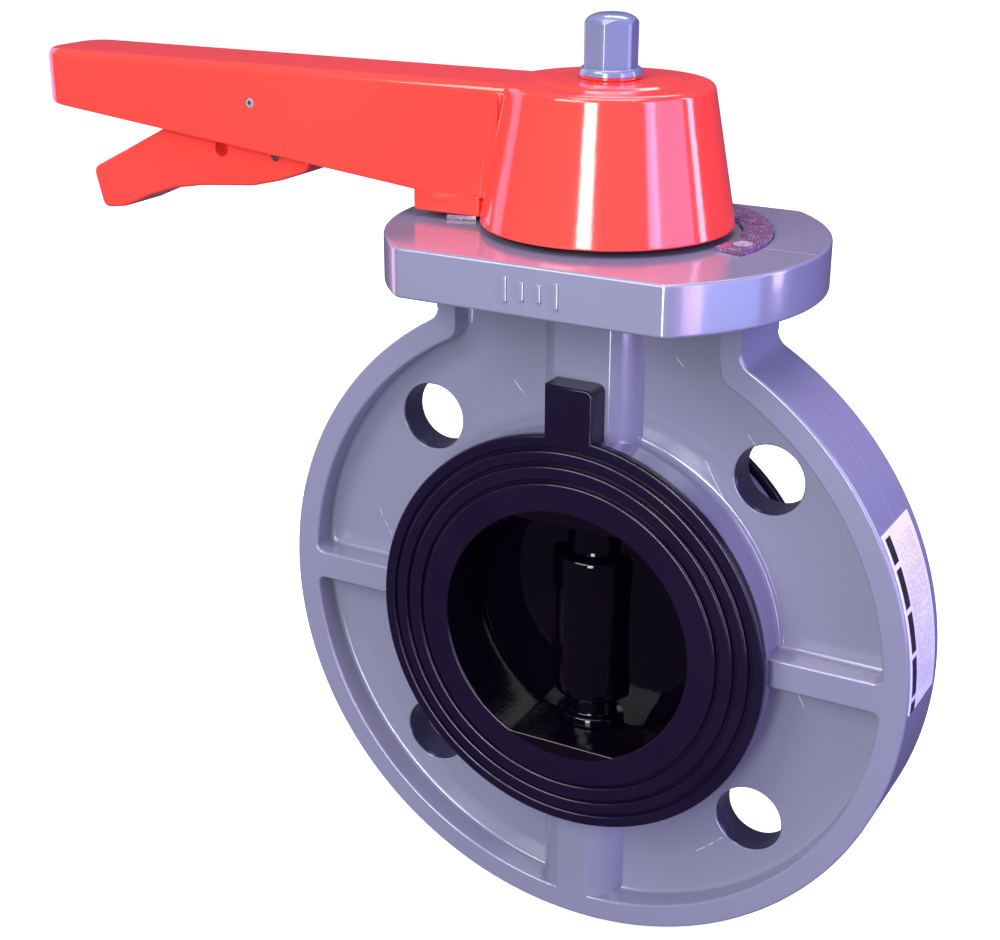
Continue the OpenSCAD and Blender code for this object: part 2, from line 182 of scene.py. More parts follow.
def spin(obj, axis, steps):
    """Turn an outline once round an axis through the origin."""
    edit(obj)
    bpy.ops.mesh.select_all(action="SELECT")
    bpy.ops.mesh.spin(steps=steps, angle=math.tau, center=(0, 0, 0), axis=axis)
    return outward(obj)


def half_section(name, uv, axis="Z", closed=False):
    """Half a section, given as (radius, height along the axis), ready to be spun."""
    return trace(name, [(u, 0, v) if axis == "Z" else (u, v, 0) for u, v in uv], closed)


def turned(name, uv, steps, axis="Z", closed=False):
    """A turned part: a half section spun about the upright axis Z or the bore's axis Y."""
    return spin(half_section(name, uv, axis, closed), AXES[axis], steps)


def place(obj, by):
    """Move the whole mesh by mm, leaving the object's own origin where it is."""
    edit(obj)
    bpy.ops.mesh.select_all(action="SELECT")
    bpy.ops.transform.translate(value=Vector(by) * MM)
    settle()
    return obj


def arc(r, start, end, step=2.5, cx=0.0, cy=0.0):
    """Points (u, v) on a circle, from one angle to another in degrees."""
    n = max(2, math.ceil(abs(end - start) / step))
    turn = [math.radians(start + (end - start) * i / n) for i in range(n + 1)]
    return [(cx + r * math.cos(t), cy + r * math.sin(t)) for t in turn]


def face_on(uv, y):
    """Points of an outline seen from the front, at depth y."""
    return [(u, y, v) for u, v in uv]


def plan(uv, z):
    """Points of an outline seen from above, at height z."""
    return [(u, v, z) for u, v in uv]


def rod(name, r, low, high, axis="Z", at=(0, 0, 0), steps=64, ends=0.0):
    """A turned rod with eased ends, made from a half section."""
    e = ends
    half = [(0, low), (r - e, low), (r, low + e), (r, high - e), (r - e, high), (0, high)]
    half = [p for i, p in enumerate(half) if i == 0 or p != half[i - 1]]
    return place(turned(name, half, steps, axis), at)


def block(name, low, high, ease=0.0, steps=3):
    """A box between two corners, its edges eased."""
    settle()
    bpy.ops.mesh.primitive_cube_add(size=1)
    obj = bpy.context.object
    obj.name = obj.data.name = name
    bpy.ops.object.mode_set(mode="EDIT")
    bpy.ops.mesh.select_all(action="SELECT")
    low, high = Vector(low) * MM, Vector(high) * MM
    bpy.ops.transform.resize(value=high - low)
    bpy.ops.transform.translate(value=(low + high) / 2)
    if ease:
        bpy.ops.mesh.bevel(offset=ease * MM, segments=steps, affect="EDGES")
    settle()
    return obj


# %% Joining, cutting and easing
def combine(obj, other, how="UNION"):
    """Join or cut with another solid, which is used up."""
    take(obj)
    m = obj.modifiers.new("solid", "BOOLEAN")
    m.operation, m.solver, m.object = how, "EXACT", other
    bpy.ops.object.modifier_apply(modifier=m.name)
    bpy.data.objects.remove(other)
    return obj


def cut(obj, other):
    return combine(obj, other, "DIFFERENCE")


def ease_edges(obj, test, width, sharp=40, steps=3):
    """Bevel the sharp edges that pass the test."""
    pick_edges(obj, test, sharp)
    bpy.ops.mesh.bevel(offset=width * MM, segments=steps, affect="EDGES", clamp_overlap=False)
    settle()
    return obj


def slice_off(obj, point, normal):
    """Cut away what lies on a plane's normal side, and close the cut."""
    edit(obj)
    bpy.ops.mesh.select_all(action="SELECT")
    bpy.ops.mesh.bisect(plane_co=Vector(point) * MM, plane_no=normal, use_fill=True, clear_outer=True)
    return outward(obj)


def twin_of(obj):
    """The same object again, with a mesh of its own."""
    twin = obj.copy()
    twin.data = obj.data.copy()
    bpy.context.scene.collection.objects.link(twin)
    return twin


def flip_copy(obj):
    """The same solid mirrored front to back, as a mesh of its own."""
    twin = twin_of(obj)
    edit(twin)
    bpy.ops.mesh.select_all(action="SELECT")
    bpy.ops.transform.resize(value=(1, -1, 1), center_override=(0, 0, 0))
    return outward(twin)


def finished(obj, body, material, *nodes, angle=32):
    """Shading that keeps flats flat, a finish, the body to ride on and the nodes stood for."""
    take(obj)
    bpy.ops.object.shade_smooth_by_angle(angle=math.radians(angle))
    m = obj.modifiers.new("flats", "WEIGHTED_NORMAL")
    m.keep_sharp, m.weight = True, 80
    bpy.ops.object.modifier_apply(modifier=m.name)
    obj.data.materials.clear()
    obj.data.materials.append(material)
    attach(obj, body)
    if nodes:
        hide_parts(*nodes)
    print(f"{obj.name}: {len(obj.data.polygons)} faces, rides on {body}")
    return obj


# %% [markdown]
# ## Finishes
# Every finish is a Principled shader with the same three layers: a slow drift of colour,
# a fine speckle, and a bump at the scale of the moulding's own surface. Object
# coordinates are used, so a pattern keeps its real size on every piece.

# %% A finish maker
def rgb(hex_text):
    """A colour written as on screen, turned into the light values that the shader uses."""
    def light(c):
        return c / 12.92 if c <= 0.04045 else ((c + 0.055) / 1.055) ** 2.4
    return [light(int(hex_text[i:i + 2], 16) / 255) for i in (0, 2, 4)] + [1.0]


class Finish:
    """A material under construction: nodes are added by name and wired in one line each."""

    def __init__(self, name):
        self.material = bpy.data.materials.new(name)
        self.material.use_nodes = True
        self.tree = self.material.node_tree
        self.shader = self.tree.nodes["Principled BSDF"]
        self.where = self.tree.nodes.new("ShaderNodeTexCoord").outputs["Object"]

    def node(self, kind, sockets=None, **settings):
        n = self.tree.nodes.new(kind)
        for k, v in settings.items():
            setattr(n, k, v)
        for k, v in (sockets or {}).items():
            if isinstance(v, bpy.types.NodeSocket):
                self.tree.links.new(v, n.inputs[k])
            else:
                n.inputs[k].default_value = v
        return n

    def noise(self, scale, detail=3.0, stretch=None, low=0.35, high=0.65):
        """Noise as a number from 0 to 1, its contrast set by low and high."""
        where = self.where
        if stretch:
            where = self.node("ShaderNodeMapping", {"Vector": where, "Scale": stretch}).outputs[0]
        n = self.node("ShaderNodeTexNoise", {"Vector": where, "Scale": scale, "Detail": detail})
        r = self.node("ShaderNodeMapRange", {"Value": n.outputs[0], "From Min": low, "From Max": high})
        return r.outputs[0]

    def math(self, how, a, b=0.0):
        return self.node("ShaderNodeMath", {0: a, 1: b}, operation=how).outputs[0]

    def vector(self, how, a, b=(0, 0, 0)):
        n = self.node("ShaderNodeVectorMath", {0: a, 1: b}, operation=how)
        return n.outputs["Value" if how in ("LENGTH", "DISTANCE") else "Vector"]

    def both(self, *shares):
        """The product of several shares: 1 only where all of them are 1."""
        product = shares[0]
        for share in shares[1:]:
            product = self.math("MULTIPLY", product, share)
        return product

    def between(self, value, low, high):
        return self.both(self.math("GREATER_THAN", value, low), self.math("LESS_THAN", value, high))

    def fade(self, value, near, far):
        """1 up to near, falling to 0 at far."""
        limits = {"Value": value, "From Min": near, "From Max": far, "To Min": 1.0, "To Max": 0.0}
        return self.node("ShaderNodeMapRange", limits).outputs[0]

    def blend(self, share, first, second):
        n = self.node("ShaderNodeMix", data_type="RGBA")
        for socket, value in ((n.inputs[0], share), (n.inputs[6], first), (n.inputs[7], second)):
            if isinstance(value, bpy.types.NodeSocket):
                self.tree.links.new(value, socket)
            else:
                socket.default_value = value
        return n.outputs[2]

    def span(self, value, low, high):
        """A 0 to 1 value stretched between two numbers."""
        limits = {"Value": value, "To Min": low, "To Max": high}
        return self.node("ShaderNodeMapRange", limits).outputs[0]

    def bump(self, height, deep, after=None):
        """A bump of so many metres; after chains it onto another."""
        sockets = {"Height": height, "Distance": deep, "Strength": 1.0}
        if after is not None:
            sockets["Normal"] = after
        return self.node("ShaderNodeBump", sockets).outputs[0]

    def wire(self, socket, value):
        if isinstance(value, bpy.types.NodeSocket):
            self.tree.links.new(value, self.shader.inputs[socket])
        else:
            self.shader.inputs[socket].default_value = value
        return self

    def wired(self, socket):
        """What is wired to a socket of the shader so far."""
        return self.shader.inputs[socket].links[0].from_socket


PEEL = 260          # size of the orange peel, as a noise scale
COAT_ROUGH = 0.08


def moulded(name, colour, shade, rough, drift=18, grain=900, deep=0.00004, coat=0.0, ior=1.5):
    """Moulded plastic: colour drifting to a second shade, a fine grain and a slight orange peel."""
    f = Finish(name)
    slow, fine = f.noise(drift, 1.0, low=0.15, high=0.85), f.noise(grain, 2.0)
    base = f.blend(slow, rgb(colour), rgb(shade))
    base = f.blend(f.math("MULTIPLY", fine, 0.25), base, rgb(shade))
    handled = f.noise(drift * 2, 2.0, low=0.1, high=0.9)
    f.wire("Base Color", base).wire("Roughness", f.span(handled, *rough))
    peel = f.bump(f.noise(PEEL, 1.0, low=0.0, high=1.0), deep)
    f.wire("Normal", f.bump(fine, deep * 0.25, after=peel))
    f.wire("IOR", ior).wire("Coat Weight", coat)
    if coat:
        f.wire("Coat Roughness", COAT_ROUGH)
    return f


# %% [markdown]
# ### The body's grey plastic
# The body is fairly glossy grey plastic with a blue cast. Handling has left a few pale
# scratches on the web, and the mould's parting line runs round the rim. A scratch is a
# thin line: the distance to a line segment, kept only where it is tiny. The walls of the
# bolt holes are painted dark, which is painted shade.

# %% Body plastic with scratches and a parting line
BOLT_AT = 152.4 / 2 * math.cos(math.radians(45))  # sideways and up from the bore's axis
BOLT_R = 10.0
SCRATCHES = [((-26, 70), (-21, 64)), ((35, 56), (40, 46)), ((47, 66), (60, 50)),
             ((66, -8), (70, -16)), ((22, 88), (27, 82)), ((-74, 20), (-69, 9)),
             ((38, -70), (47, -63))]
SCRATCH_WIDTH, SCRATCH_BOW = 0.16, 6.0


def scratch(f, x, z, a, b):
    """1 on a thin bowed line from a to b (x, z in mm) seen from the front, 0 away from it."""
    ax, az, bx, bz = (v * MM for v in (*a, *b))
    dx, dz = bx - ax, bz - az
    span = math.hypot(dx, dz)
    x, z = f.math("SUBTRACT", x, ax), f.math("SUBTRACT", z, az)
    along = f.math("ADD", f.math("MULTIPLY", x, dx / span), f.math("MULTIPLY", z, dz / span))
    across = f.math("ADD", f.math("MULTIPLY", x, -dz / span), f.math("MULTIPLY", z, dx / span))
    bow = f.math("MULTIPLY", f.math("MULTIPLY", along, along), SCRATCH_BOW)
    across = f.math("ABSOLUTE", f.math("SUBTRACT", across, bow))
    return f.both(f.fade(across, 0.0, SCRATCH_WIDTH * MM), f.between(along, 0.0, span))


f = moulded("body_grey_plastic", "7b7d95", "75778f", rough=(0.15, 0.21), deep=0.00003, coat=0.5,
            ior=1.6)
x, y, z = f.node("ShaderNodeSeparateXYZ", {0: f.where}).outputs
marks = None
for start, end in SCRATCHES:
    one = scratch(f, x, z, start, end)
    marks = one if marks is None else f.math("MAXIMUM", marks, one)
on_front = f.math("LESS_THAN", y, -5.2 * MM)
marks = f.both(marks, f.noise(420, 2.0, low=0.4, high=0.55), on_front)
f.wire("Base Color", f.blend(marks, f.wired("Base Color"), rgb("d5d8ee")))
seam = f.fade(f.math("ABSOLUTE", y), 0.12 * MM, 0.35 * MM)
f.wire("Normal", f.bump(seam, 0.1 * MM, after=f.wired("Normal")))
# Painted shade: the bolt holes' walls are darkened. Folded into one quarter, the four bolt holes are
# one circle.
fold = f.vector("MULTIPLY", f.vector("ABSOLUTE", f.where), (1, 0, 1))
from_bolt = f.vector("DISTANCE", fold, (BOLT_AT * MM, 0, BOLT_AT * MM))
hole_painted_shade = f.math("LESS_THAN", from_bolt, (BOLT_R + 0.3) * MM)
f.wire("Base Color", f.blend(hole_painted_shade, f.wired("Base Color"), rgb("2c2b4a")))
BODY = f.material
print("finish:", BODY.name, "with", len(SCRATCHES), "scratches")

# %% [markdown]
# ### The other finishes
# The handle and trigger are glossy red plastic. The seat is satin black rubber with a
# purple cast, and the disc is polished black plastic. Steel, brass and nylon are for the
# small parts, most of them inside.

# %% Handle, rubber, disc, metal and plate finishes
RED = moulded("handle_red_plastic", "f2443a", "ee3e35", rough=(0.09, 0.14), drift=14, grain=700,
              deep=0.00002, coat=0.35).material
CAP = moulded("cap_blue_grey_plastic", "6a7597", "62708e", rough=(0.14, 0.2), drift=60,
              coat=0.4).material
f = moulded("seat_black_rubber", "0e071d", "130a24", rough=(0.20, 0.28), drift=40, grain=1500,
            deep=0.00004, ior=1.45)
# The bore is painted blacker than the faces, which is painted shade, and it is made shinier than them.
from_axis = f.vector("LENGTH", f.vector("MULTIPLY", f.where, (1, 0, 1)))
bore_painted_shade_and_gloss = f.math("LESS_THAN", from_axis, 39.3 * MM)
f.wire("Base Color", f.blend(bore_painted_shade_and_gloss, f.wired("Base Color"), rgb("050209")))
f.wire("Roughness", f.math("SUBTRACT", f.wired("Roughness"), f.math("MULTIPLY", bore_painted_shade_and_gloss, 0.08)))
RUBBER = f.material
GLOSS = moulded("disc_black_plastic", "030107", "05020b", rough=(0.05, 0.09), drift=25, deep=0.00002,
                ior=1.42).material
DARK = moulded("linkage_dark_plastic", "24222a", "2e2b34", rough=(0.35, 0.5), drift=70).material
NYLON = moulded("bush_nylon", "e6e2d2", "dad5c2", rough=(0.35, 0.45), drift=50).material
SEAL = moulded("ring_black_rubber", "131216", "1b191f", rough=(0.4, 0.55), drift=80).material


def metal(name, colour, shade, rough, brush, share=1.0):
    """Metal with fine turning marks: noise stretched by brush. Share says how metallic it is."""
    f = Finish(name)
    lines = f.noise(900, 3.0, stretch=brush)
    f.wire("Base Color", f.blend(f.noise(60), rgb(colour), rgb(shade))).wire("Metallic", share)
    f.wire("Roughness", f.span(lines, *rough))
    f.wire("Normal", f.bump(lines, 0.00001))
    return f.material


STEEL = metal("steel_turned", "b4b6bf", "9c9ea8", (0.22, 0.36), (0.15, 0.15, 3.0))
ZINC = metal("screw_zinc", "c3c5cc", "aeb1bb", (0.25, 0.4), (1.0, 1.0, 1.0), 0.5)
BRASS = metal("insert_brass", "b39c63", "9d8750", (0.25, 0.4), (0.2, 0.2, 3.0))

# The index plate is pressed from purple laminate, thickly speckled with pale dots.
f = Finish("index_plate_speckled")
dots = f.node("ShaderNodeTexVoronoi", {"Vector": f.where, "Scale": 1500.0})
dot = f.both(f.fade(dots.outputs["Distance"], 0.18, 0.34), f.noise(500, 2.0, low=0.42, high=0.6))
ground = f.blend(f.noise(220), rgb("5a3a60"), rgb("7d5c86"))
f.wire("Base Color", f.blend(dot, ground, rgb("e4d2ea")))
f.wire("Roughness", f.span(f.noise(300), 0.10, 0.22))
f.wire("Normal", f.bump(dot, 0.00003)).wire("Coat Weight", 0.8)
SPECKLED = f.material
print("finishes:", [m.name for m in bpy.data.materials])

# %% [markdown]
# ### The rating label
# The label wraps the rim. It is off-white, with a black band along one side and rows of
# fine grey dashes that stand for its small print, so nothing on it can be read.

# %% Label finish
BAND, PRINT = (-11.5, -7.6), (-6.2, 8.2)     # mm across the rim
BAND_TOP, PRINT_ENDS = 47.5, (1.0, 45.0)     # mm along the rim, up from the level of the bore
ROWS, BLOCKS = 0.62, 0.078                   # print rows and band blocks in each mm
BODY_R = 100.0

f = Finish("label_paper")
x, y, z = f.node("ShaderNodeSeparateXYZ", {0: f.where}).outputs
along = f.math("MULTIPLY", f.math("ARCTAN2", z, x), BODY_R)
across = f.math("MULTIPLY", y, 1 / MM)
in_block = f.math("GREATER_THAN", f.math("FRACT", f.math("MULTIPLY", along, BLOCKS)), 0.12)
band = f.both(f.between(across, *BAND), in_block, f.math("LESS_THAN", along, BAND_TOP))
line = f.math("MULTIPLY", across, ROWS)
in_row = f.math("LESS_THAN", f.math("FRACT", line), 0.34)
spot = f.node("ShaderNodeCombineXYZ", {0: f.math("MULTIPLY", along, 0.9), 1: f.math("FLOOR", line)})
words = f.node("ShaderNodeTexNoise", {"Vector": spot.outputs[0], "Scale": 1.0})
dash = f.both(f.math("GREATER_THAN", words.outputs[0], 0.47), in_row,
              f.between(across, *PRINT), f.between(along, *PRINT_ENDS))
paper = f.blend(f.noise(120), rgb("e2e0f4"), rgb("d9d6ee"))
paper = f.blend(f.math("MULTIPLY", dash, 0.55), paper, rgb("6a6878"))
f.wire("Base Color", f.blend(band, paper, rgb("141119")))
f.wire("Roughness", f.span(f.noise(200), 0.3, 0.42))
f.wire("Normal", f.bump(f.noise(700), 0.00002))
LABEL = f.material
print("finish:", LABEL.name)

# %% [markdown]
# ## The body ring
# The real body is one moulding: a ring with a neck, recessed on both faces between the
# rim, two side ribs and two stem housings. It could be drawn face by face, but pockets
# cut with eased solids give every inner corner its fillet at once. So the outline is
# pulled out, four pockets are cut, and the pocket rims are bevelled while they are still
# clean closed loops.

# %% Ring and neck
RIM, WEB, RIM_IN, NECK, NECK_IN = 14.0, 5.5, 92.5, 47.0, 41.0
PAD_Z, PAD_TOP = 103.0, 117.0
meet = math.degrees(math.acos(NECK / BODY_R))
outline = [(NECK, PAD_Z + 1)] + arc(BODY_R, meet, -180 - meet, 2.0) + [(-NECK, PAD_Z + 1)]
ring = trace("body_moulding", face_on(outline, -RIM))
corner_z = math.sqrt(BODY_R ** 2 - NECK ** 2)
round_points(ring, lambda p: near(abs(p.x), NECK) and near(p.z, corner_z), 3.0, 5)
pull(ring, (0, 2 * RIM, 0))
print("ring outline:", len(outline), "points")

# %% Pockets between rim and seat ring
half_rib, POCKET_IN = 4.5, 52
lift = math.degrees(math.asin(half_rib / RIM_IN))
inner_lift = math.degrees(math.asin(half_rib / POCKET_IN))
neck_meet = math.degrees(math.acos(NECK_IN / RIM_IN))
upper = arc(RIM_IN, lift, neck_meet) + [(NECK_IN, PAD_Z + 4), (-NECK_IN, PAD_Z + 4)]
upper += arc(RIM_IN, 180 - neck_meet, 180 - lift) + arc(POCKET_IN, 180 - inner_lift, inner_lift)
lower = arc(RIM_IN, 180 + lift, 360 - lift)
lower += arc(POCKET_IN, 360 - inner_lift, 180 + inner_lift)
neck_corner = math.sqrt(RIM_IN ** 2 - NECK_IN ** 2)


def pocket(name, uv):
    """A pocket's solid, from the web's face outwards, with eased corners and floor."""
    obj = trace(name, face_on(uv, -WEB))
    round_points(obj, lambda p: near(abs(p.z), half_rib) and abs(p.x) > 80, 2.4, 4)
    round_points(obj, lambda p: near(abs(p.x), NECK_IN) and near(p.z, neck_corner), 3.0, 4)
    pull(obj, (0, -(RIM + 2 - WEB), 0))
    pick_edges(obj, lambda p: near(p.y, -WEB))
    bpy.ops.mesh.bevel(offset=1.3 * MM, segments=3, affect="EDGES", clamp_overlap=False)
    settle()
    return obj


for name, uv in (("upper_pocket", upper), ("lower_pocket", lower)):
    front = pocket(name, uv)
    rear = flip_copy(front)
    cut(ring, front)
    cut(ring, rear)
ease_edges(ring, lambda p: near(abs(p.y), RIM) and p.z < PAD_Z + 0.5, 0.8, sharp=50)
print("ring with pockets:", len(ring.data.polygons), "faces")

# %% [markdown]
# ## Seat ring, stem housings and pad
# The ring that carries the rubber seat is a turned shape with a fillet at its foot. The
# stem housings are round bars with flats front and back. The pad's two ends are arcs of
# one circle. Each is eased on its own and then joined on.

# %% Seat ring
FOOT = 2.0
foot = [(60 + FOOT * (1 - math.sin(t)), -WEB - FOOT * (1 - math.cos(t)))
        for t in (math.radians(a) for a in range(90, -1, -15))]
section = [(44, -19.1), (59.3, -19.1), (60, -18.4)] + foot + [(62, -WEB + 1)]
section += [(u, -v) for u, v in reversed(section)]
combine(ring, turned("seat_ring", section, 160, "Y", closed=True))
print("with seat ring:", len(ring.data.polygons), "faces")

# %% Stem housings
for name, r, low, high in (("upper_housing", 16.5, 48, PAD_Z + 2),
                           ("lower_housing", 14.8, -RIM_IN - 2, -48)):
    a = math.degrees(math.asin((RIM + 0.02) / r))
    bar = trace(name, plan(arc(r, -a, a, 4) + arc(r, 180 - a, 180 + a, 4), low))
    round_points(bar, lambda p: abs(p.y) > RIM, 0.45, 3)
    combine(ring, pull(bar, (0, 0, high - low)))
print("with stem housings:", len(ring.data.polygons), "faces")

# %% Mounting pad
PAD_R, PAD_HALF = 62, 48
corner = math.degrees(math.asin(PAD_HALF / PAD_R))
pad_uv = arc(PAD_R, -corner, corner) + arc(PAD_R, 180 - corner, 180 + corner)
pad = trace("pad", plan(pad_uv, PAD_Z))
round_points(pad, lambda p: near(abs(p.y), PAD_HALF), 1.2, 3)
pull(pad, (0, 0, PAD_TOP - PAD_Z))
ease_edges(pad, lambda p: True, 0.9, sharp=50)
combine(ring, pad)
print("with mounting pad:", len(ring.data.polygons), "faces")

# %% [markdown]
# ## Bores
# The seat's bore, the stem's passage with its two bush pockets, four bolt holes with
# eased mouths, and the shallow track under the index plate are cut from the body.

# %% Cut the bores
cut(ring, rod("seat_bore", 47.95, -21, 21, axis="Y", steps=160))
passage = [(0, -84), (11, -84), (11, -40), (7.6, -40), (7.6, 90), (13, 90),
           (13, PAD_TOP + 1), (0, PAD_TOP + 1)]
cut(ring, turned("passage", passage, 64))
mouth = [(0, -RIM - 2), (BOLT_R + 0.9, -RIM - 2), (BOLT_R + 0.9, -WEB - 0.3),
         (BOLT_R + 0.55, -WEB + 0.05), (BOLT_R + 0.15, -WEB + 0.5), (BOLT_R, -WEB + 1.1)]
mouth += [(u, -v) for u, v in reversed(mouth)]
hole = turned("bolt_hole", mouth, 64, "Y")
for sx in (-1, 1):
    for sz in (-1, 1):
        cut(ring, place(twin_of(hole), (sx * BOLT_AT, 0, sz * BOLT_AT)))
bpy.data.objects.remove(hole)
track = arc(46.2, -15, 197) + arc(37.3, 197, -15)
cut(ring, pull(trace("track", plan(track, PAD_TOP - 2)), (0, 0, 4)))
print("with bores and track:", len(ring.data.polygons), "faces")

# %% Plain raised size bars on the pad's front
for i, tall in enumerate((7.0, 5.0, 5.0, 7.0)):
    x = -6.0 + 5.0 * i
    bar = block("size_bar", (x - 0.9, -48.7, 110 - tall / 2), (x + 0.9, -47, 110 + tall / 2), 0.45, 2)
    combine(ring, bar)
finished(ring, "housing", BODY, "valve_body")

# %% [markdown]
# ## The rubber seat
# A moulded rubber sleeve with a flange on each face. Three raised bands, each a little
# prouder than the next one out, press against the pipe's flange. Half the section is
# drawn, its corners are rounded as a mould would, and it is spun. The bore has a flat
# above and below for the disc's hubs, and a key tab stands in front of the upper housing.

# %% Seat section
def band_side(sign):
    """The flange's outline on one face, from the bore outwards."""
    pts = [(34, 23), (47.65, 23), (47.65, 21.4), (48.55, 21.4), (48.55, 22.8), (52.75, 22.8),
           (52.75, 21.2), (53.65, 21.2), (53.65, 22.5), (57.25, 22.5), (57.25, 21.0), (58.15, 21.0),
           (58.15, 22.2), (61.75, 22.2), (61.75, 19.2), (47.9, 19.2)]
    return [(r, sign * y) for r, y in pts]


section = band_side(-1) + list(reversed(band_side(1)))
seat = half_section("rubber_seat", section, "Y", closed=True)
round_points(seat, lambda p: p.x > 47 and abs(p.y) > 22.1, 0.8, 5)
round_points(seat, lambda p: p.x > 61.7 and abs(p.y) < 19.3, 0.4, 2)
spin(seat, AXES["Y"], 160)
print("seat section spun:", len(seat.data.polygons), "faces")

# %% Bore with its two flats, and the key tab
STEM_WAY = 7.05


def bore_outline(r, flat):
    """A circle with a flat above and below."""
    a = math.degrees(math.asin(flat / r))
    return arc(r, -a, a, 2.5) + arc(r, 180 - a, 180 + a, 2.5)


cut(seat, pull(trace("bore", face_on(bore_outline(39, 35), -25)), (0, 50, 0)))
ease_edges(seat, lambda p: near(abs(p.y), 23) and math.hypot(p.x, p.z) < 40, 0.7, sharp=50)
tab = trace("tab", face_on([(-7.5, 59), (7.5, 59), (7.5, 76.5), (-7.5, 76.5)], -22.2))
round_points(tab, lambda p: p.z > 76, 2.2, 5)
pull(tab, (0, 22.2 - 14.05, 0))
ease_edges(tab, lambda p: p.y < -22, 0.7, sharp=50)
combine(seat, tab)
cut(seat, rod("stem_way", STEM_WAY, -70, 70, steps=48))
finished(seat, "housing", RUBBER, "seat_liner")

# %% [markdown]
# ## The disc
# A polished black disc, thick at its middle, with a barrel across it that the stem runs
# through. Both are turned shapes: the lens about the pipe's axis and the barrel about
# the stem's. The barrel steps down to a neck, which ends in a collar at each flat.

# %% Lens and barrel
FLAT = 34.9
lens_half = [(0, -5.2), (8, -5.0), (16, -4.3), (26, -3.4), (33, -2.9), (37.6, -2.4), (38.6, -1.9),
             (38.85, -1.2)]
lens_uv = lens_half + [(u, -v) for u, v in reversed(lens_half)]
disc = turned("polished_disc", lens_uv, 128, "Y")
slice_off(disc, (0, 0, FLAT), (0, 0, 1))
slice_off(disc, (0, 0, -FLAT), (0, 0, -1))
end_round = arc(4.2, -90, -20, 14, 9.4, -22.4)
barrel_uv = [(0, -FLAT), (11.0, -FLAT), (11.4, -34.5), (11.4, -32.6), (10.9, -32.0),
             (9.8, -31.6), (9.4, -31.1), (9.4, -28.2), (9.2, -27.2)]
barrel_uv += end_round + [(13.6, -20.6), (13.6, 19.2), (13.4, 20.0), (12.8, 20.6), (11.0, 20.9),
                          (9.8, 21.4), (9.4, 22.2), (9.4, 31.1), (9.8, 31.6), (10.9, 32.0),
                          (11.4, 32.6), (11.4, 34.5), (11.0, FLAT), (0, FLAT)]
combine(disc, turned("barrel", barrel_uv, 96))
cut(disc, rod("stem_way", STEM_WAY, -40, 40, steps=48))
finished(disc, "turning_set", GLOSS, "disc", angle=40)

# %% [markdown]
# ## The lever handle
# The handle is a hollow red moulding: a tapered hub over the stem and a channel-shaped
# arm with the trigger inside it. The arm is a plan outline pulled up and sliced by two
# sloping planes. Between arm and hub the real moulding has a generous fillet, which is
# lofted here between two plan outlines, because the hub tapers.

# %% Arm, solid
HUB_R, HUB_TOP_R, HUB_Z, HUB_TOP = 35.5, 28.3, 118.9, 157.5
ARM, HALF, WALL, END_Z = 193.0, 14.0, 3.0, 155.0
LOW_END, LOW_HUB = 138.4, 124.6                # underside, at the free end and at the hub
PIVOT, LINK, LATCH = (-111.0, 0.0, 144.3), (-106, 0, 128.2), (-45.6, 0, 129.6)
SPRING_X = -127
slope_top = (156.5 - END_Z) / (ARM - 19)
slope_low = (LOW_END - LOW_HUB) / (ARM - 54.5)


def arm_plan(end, half, r, inner):
    """The arm from above: a rounded free end, running in to the hub."""
    return arc(r, 180, 90, 9, -end + r, half - r) + [(-inner, half), (-inner, -half)] + \
        arc(r, 270, 180, 9, -end + r, -half + r)


arm = pull(trace("lever_handle", plan(arm_plan(ARM, HALF, 9, 12), 115)), (0, 0, 50))
slice_off(arm, (-ARM, 0, END_Z), Vector((-slope_top, 0, 1)).normalized())
slice_off(arm, (-ARM, 0, LOW_END), Vector((-slope_low, 0, -1)).normalized())
slice_off(arm, (0, 0, LOW_HUB), (0, 0, -1))
ease_edges(arm, lambda p: p.z > 150, 2.6, sharp=50, steps=5)
ease_edges(arm, lambda p: p.z < 141 and p.x < -13, 0.8, sharp=50, steps=2)
print("arm:", len(arm.data.polygons), "faces")

# %% Hollow of the arm and the latch housing under it
hollow = pull(trace("hollow", plan(arm_plan(ARM - WALL, HALF - WALL, 6, 19), 100)), (0, 0, 70))
slice_off(hollow, (-ARM, 0, END_Z - 4), Vector((-slope_top, 0, 1)).normalized())
ease_edges(hollow, lambda p: p.z > 140, 1.5, sharp=50, steps=2)
cut(arm, hollow)
housing = block("latch_housing", (-54.5, -HALF, HUB_Z), (-33, HALF, 126.6), 0.8)
cut(housing, block("room", (-51.5, -11, 110), (-20, 11, 140)))
combine(arm, housing)
combine(arm, block("end_wall", (-54.3, -12, HUB_Z + 0.1), (-51.5, 12, 126)))
for side in (-1, 1):
    low, high = sorted((side * 5.15, side * 12))
    combine(arm, block("guide", (-49.5, low, 121.5), (-35.5, high, 134.5)))
print("arm, hollow:", len(arm.data.polygons), "faces")

# %% Hub with its fillets to the arm
def gusset(side, fillet, z):
    """Plan outline of the fillet between the arm's side and the hub at a height."""
    r = HUB_R + (HUB_TOP_R - HUB_R) * (z - HUB_Z) / (HUB_TOP - HUB_Z)
    xc = math.sqrt((r + fillet) ** 2 - (HALF + fillet) ** 2)
    on_hub = math.degrees(math.atan2(-(HALF + fillet), xc))
    uv = arc(fillet, -90, on_hub, 8, -xc, HALF + fillet)
    share = (r - 3) / (r + fillet)
    uv += [(-xc * share, (HALF + fillet) * share), (-xc * share, 11.6), (-xc, 11.6)]
    return [(u, side * v, z) for u, v in uv]


def loft(name, low, high):
    """A solid between two outlines with the same number of points."""
    obj = trace(name, low)
    other = trace("upper", high)
    take(obj)
    other.select_set(True)
    bpy.ops.object.join()
    edit(obj, "EDGE")
    bpy.ops.mesh.select_all(action="SELECT")
    bpy.ops.mesh.bridge_edge_loops()
    bpy.ops.mesh.select_all(action="SELECT")
    bpy.ops.mesh.fill_holes(sides=0)
    return outward(obj)


